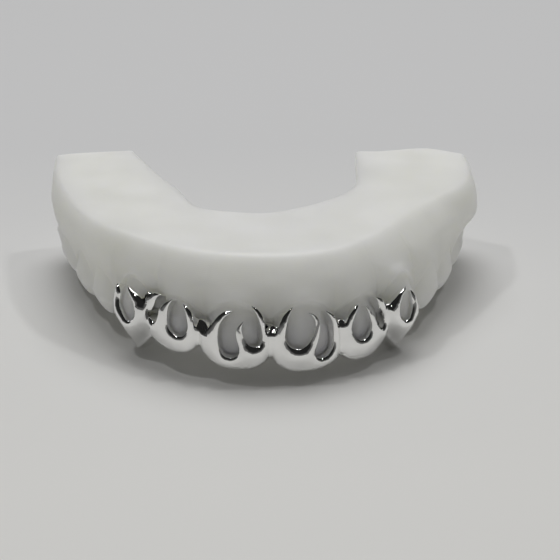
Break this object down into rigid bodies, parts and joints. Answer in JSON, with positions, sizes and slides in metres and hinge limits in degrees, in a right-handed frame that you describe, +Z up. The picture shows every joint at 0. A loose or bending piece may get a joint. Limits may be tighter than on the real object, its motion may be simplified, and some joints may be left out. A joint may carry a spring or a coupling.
{
  "type": "grillz on a dental cast",
  "caption": "Polished silver open-face grillz with flame-shaped prongs for the upper front teeth, seated on a plain white resin cast of the upper jaw that stands on its teeth.",
  "frame": {"origin": "middle of the footprint, on the table the teeth stand on", "axes": "+Z up towards the flat base of the cast, -Y towards the front teeth, +X to the right seen from the front"},
  "size_m": [0.065, 0.0522, 0.016],
  "materials": {
    "silver": "mirror polish",
    "resin": "satin print"
  },
  "bodies": {
    "root": {"grillz": "silver", "dental_cast": "resin"}
  },
  "joints": []
}
